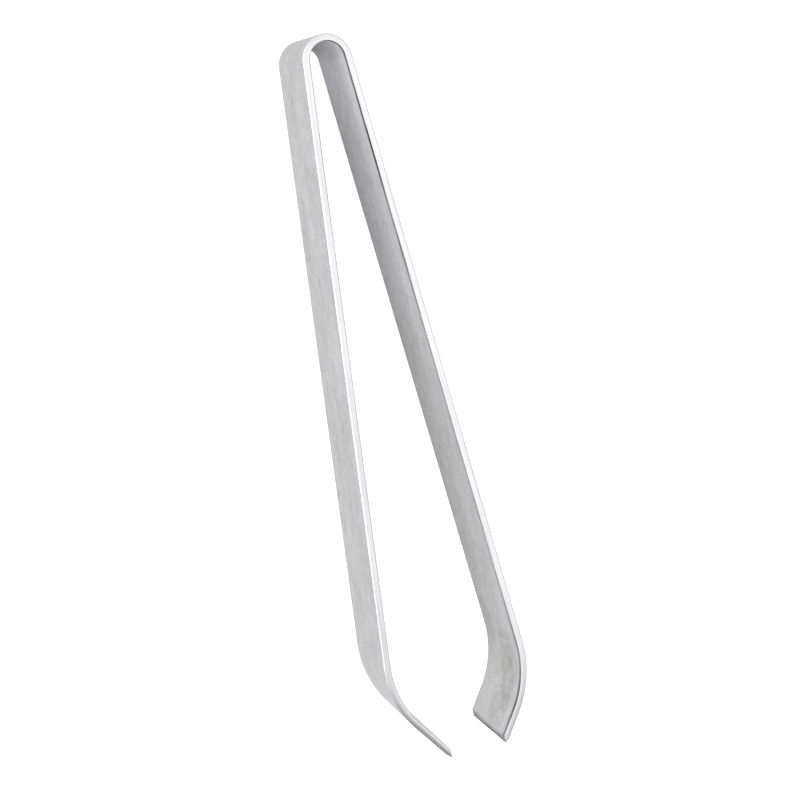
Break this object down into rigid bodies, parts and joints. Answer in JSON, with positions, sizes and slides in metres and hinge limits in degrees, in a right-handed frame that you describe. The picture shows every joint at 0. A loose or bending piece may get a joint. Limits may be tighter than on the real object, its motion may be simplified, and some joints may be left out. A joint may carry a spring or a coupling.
{
  "type": "stamp tongs",
  "caption": "Spring tongs bent from one flat metal strip: a tight bow, two spreading straight arms, kneed ends and short blades with chisel edges.",
  "frame": {"origin": "middle of the bounding box's base: the tongs lie on the strip's lower edge at z = 0", "axes": "+X towards the right arm, +Y from the blades to the bow, +Z along the strip's width, up from what the tongs lie on"},
  "size_m": [0.0258, 0.127, 0.016],
  "materials": {
    "bow_steel": "satin, drawn along the strip, edges tumbled bright",
    "arm_steel": "satin, drawn along the strip, edges tumbled bright",
    "blade_steel": "satin with ground flats, rubbed and lightly stained from use"
  },
  "bodies": {
    "bow": {"bow": "bow_steel"},
    "left_arm": {"left_spring_arm": "arm_steel"},
    "left_jaw": {"left_finger_grip": "arm_steel", "left_knee": "arm_steel", "left_blade": "blade_steel"},
    "right_arm": {"right_spring_arm": "arm_steel"},
    "right_jaw": {"right_finger_grip": "arm_steel", "right_knee": "arm_steel", "right_blade": "blade_steel"}
  },
  "joints": [
    {"name": "left_arm_flex", "type": "hinge", "parent": "bow", "child": "left_arm", "pos_m": [-0.00411, 0.05496, 0.008], "axis": [0, 0, 1], "range_deg": [0, 1.4], "stiffness_Nm_per_rad": 21},
    {"name": "left_jaw_flex", "type": "hinge", "parent": "left_arm", "child": "left_jaw", "pos_m": [-0.00654, 0.02571, 0.008], "axis": [0, 0, 1], "range_deg": [0, 1.4], "stiffness_Nm_per_rad": 11.3},
    {"name": "right_arm_flex", "type": "hinge", "parent": "bow", "child": "right_arm", "pos_m": [0.00384, 0.05496, 0.008], "axis": [0, 0, -1], "range_deg": [0, 1.4], "stiffness_Nm_per_rad": 21},
    {"name": "right_jaw_flex", "type": "hinge", "parent": "right_arm", "child": "right_jaw", "pos_m": [0.00627, 0.02571, 0.008], "axis": [0, 0, -1], "range_deg": [0, 1.4], "stiffness_Nm_per_rad": 11.3}
  ],
  "couplings": [
    {"joint": "left_jaw_flex", "follows": "left_arm_flex", "ratio": 1},
    {"joint": "right_arm_flex", "follows": "left_arm_flex", "ratio": 1},
    {"joint": "right_jaw_flex", "follows": "left_arm_flex", "ratio": 1}
  ]
}
